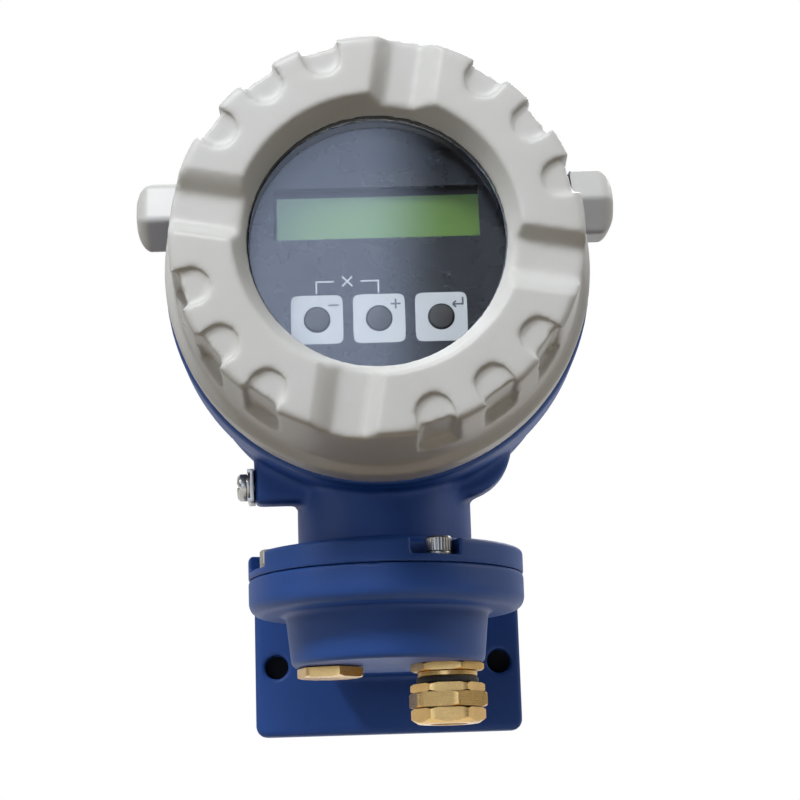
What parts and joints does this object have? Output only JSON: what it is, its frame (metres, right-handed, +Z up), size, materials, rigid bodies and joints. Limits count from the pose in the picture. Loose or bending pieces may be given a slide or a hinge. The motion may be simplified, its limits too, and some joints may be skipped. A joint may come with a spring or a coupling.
{
  "type": "ultrasonic flow meter transmitter",
  "caption": "Wall-mounted flow transmitter head: drum housing with screwed covers, windowed display and keys, swivelling neck, flanged connection cup, cable gland and wall plate.",
  "frame": {"origin": "centre of the wall plate's back face, midway between the two wall bolts", "axes": "+Y points into the wall, -Y is the side of the display, +Z is up along the neck, +X is to the viewer's right"},
  "size_m": [0.1752, 0.1774, 0.2163],
  "materials": {
    "blue_paint": "satin blue paint on die-cast aluminium",
    "cover_paint": "satin light grey paint on die-cast aluminium",
    "plated_brass": "satin",
    "steel": "satin stainless steel",
    "seal_rubber": "matte",
    "window_glass": "polished",
    "dark_ring": "satin dark anodised",
    "panel_plastic": "matte dark blue-grey foil on plastic",
    "housing_plastic": "matte",
    "lcd": "pale green display",
    "key_plastic": "matte",
    "board": "green circuit board",
    "spacer_metal": "satin",
    "terminal_plastic": "matte green-grey",
    "cover_plug_paint": "satin light grey"
  },
  "bodies": {
    "holder": {"wall_holder": "blue_paint", "foot_seal": "seal_rubber", "clamp_ring": "blue_paint", "clamp_screws": "steel", "clamp_washers": "steel", "blanking_plug": "plated_brass", "blanking_plug_seal": "seal_rubber", "gland_entry": "plated_brass", "gland_seal_ring": "seal_rubber", "gland_body": "plated_brass", "gland_insert": "seal_rubber", "cup_terminals": "terminal_plastic", "cup_terminal_screws": "steel"},
    "head": {"housing": "blue_paint", "foot_plate": "spacer_metal", "foot_plate_screws": "steel", "side_plug_left": "cover_plug_paint", "side_plug_seal_left": "seal_rubber", "side_plug_right": "cover_plug_paint", "side_plug_seal_right": "seal_rubber", "earth_clamp": "steel", "earth_spring_washer": "steel", "earth_screw": "steel", "display_panel": "panel_plastic", "display_housing": "housing_plastic", "lcd_screen": "lcd", "display_board": "board", "display_carrier": "spacer_metal", "board_pillars": "spacer_metal", "amplifier_board": "board", "power_board": "board", "terminal_block": "terminal_plastic", "terminal_screws": "steel"},
    "front_cover": {"front_cover": "cover_paint", "window_seal": "seal_rubber", "window_glass": "window_glass", "window_retainer": "dark_ring"},
    "rear_cover": {"rear_cover": "cover_paint"},
    "front_seal": {"front_cover_seal": "seal_rubber"},
    "rear_seal": {"rear_cover_seal": "seal_rubber"},
    "gland_follower": {"gland_washer": "steel"},
    "gland_cap": {"gland_nut": "plated_brass"},
    "minus_key": {"key_minus": "key_plastic"},
    "plus_key": {"key_plus": "key_plastic"},
    "enter_key": {"key_enter": "key_plastic"}
  },
  "joints": [
    {"name": "head_swivel", "type": "hinge", "parent": "holder", "child": "head", "pos_m": [0, -0.088, 0.03], "axis": [0, 0, 1], "range_deg": [-50, 50]},
    {"name": "front_cover_travel", "type": "slide", "parent": "head", "child": "front_seal", "axis": [0, -1, 0], "range_m": [0, 0.009]},
    {"name": "front_cover_turn", "type": "hinge", "parent": "front_seal", "child": "front_cover", "pos_m": [0, -0.15, 0.1188], "axis": [0, -1, 0], "range_deg": [0, 1600]},
    {"name": "rear_cover_travel", "type": "slide", "parent": "head", "child": "rear_seal", "axis": [0, 1, 0], "range_m": [0, 0.009]},
    {"name": "rear_cover_turn", "type": "hinge", "parent": "rear_seal", "child": "rear_cover", "pos_m": [0, -0.04, 0.1188], "axis": [0, 1, 0], "range_deg": [0, 1600]},
    {"name": "gland_travel", "type": "slide", "parent": "holder", "child": "gland_follower", "axis": [0, 0, -1], "range_m": [0, 0.0029]},
    {"name": "gland_nut_turn", "type": "hinge", "parent": "gland_follower", "child": "gland_cap", "pos_m": [0.0197, -0.088, -0.025], "axis": [0, 0, -1], "range_deg": [0, 690]},
    {"name": "minus_key_press", "type": "slide", "parent": "head", "child": "minus_key", "axis": [0, 1, 0], "range_m": [0, 0.001], "stiffness_N_per_m": 1500},
    {"name": "plus_key_press", "type": "slide", "parent": "head", "child": "plus_key", "axis": [0, 1, 0], "range_m": [0, 0.001], "stiffness_N_per_m": 1500},
    {"name": "enter_key_press", "type": "slide", "parent": "head", "child": "enter_key", "axis": [0, 1, 0], "range_m": [0, 0.001], "stiffness_N_per_m": 1500}
  ],
  "couplings": [
    {"joint": "front_cover_travel", "follows": "front_cover_turn", "m_per_rad": 0.00031831},
    {"joint": "rear_cover_travel", "follows": "rear_cover_turn", "m_per_rad": 0.00031831},
    {"joint": "gland_travel", "follows": "gland_nut_turn", "m_per_rad": 0.00023873}
  ]
}
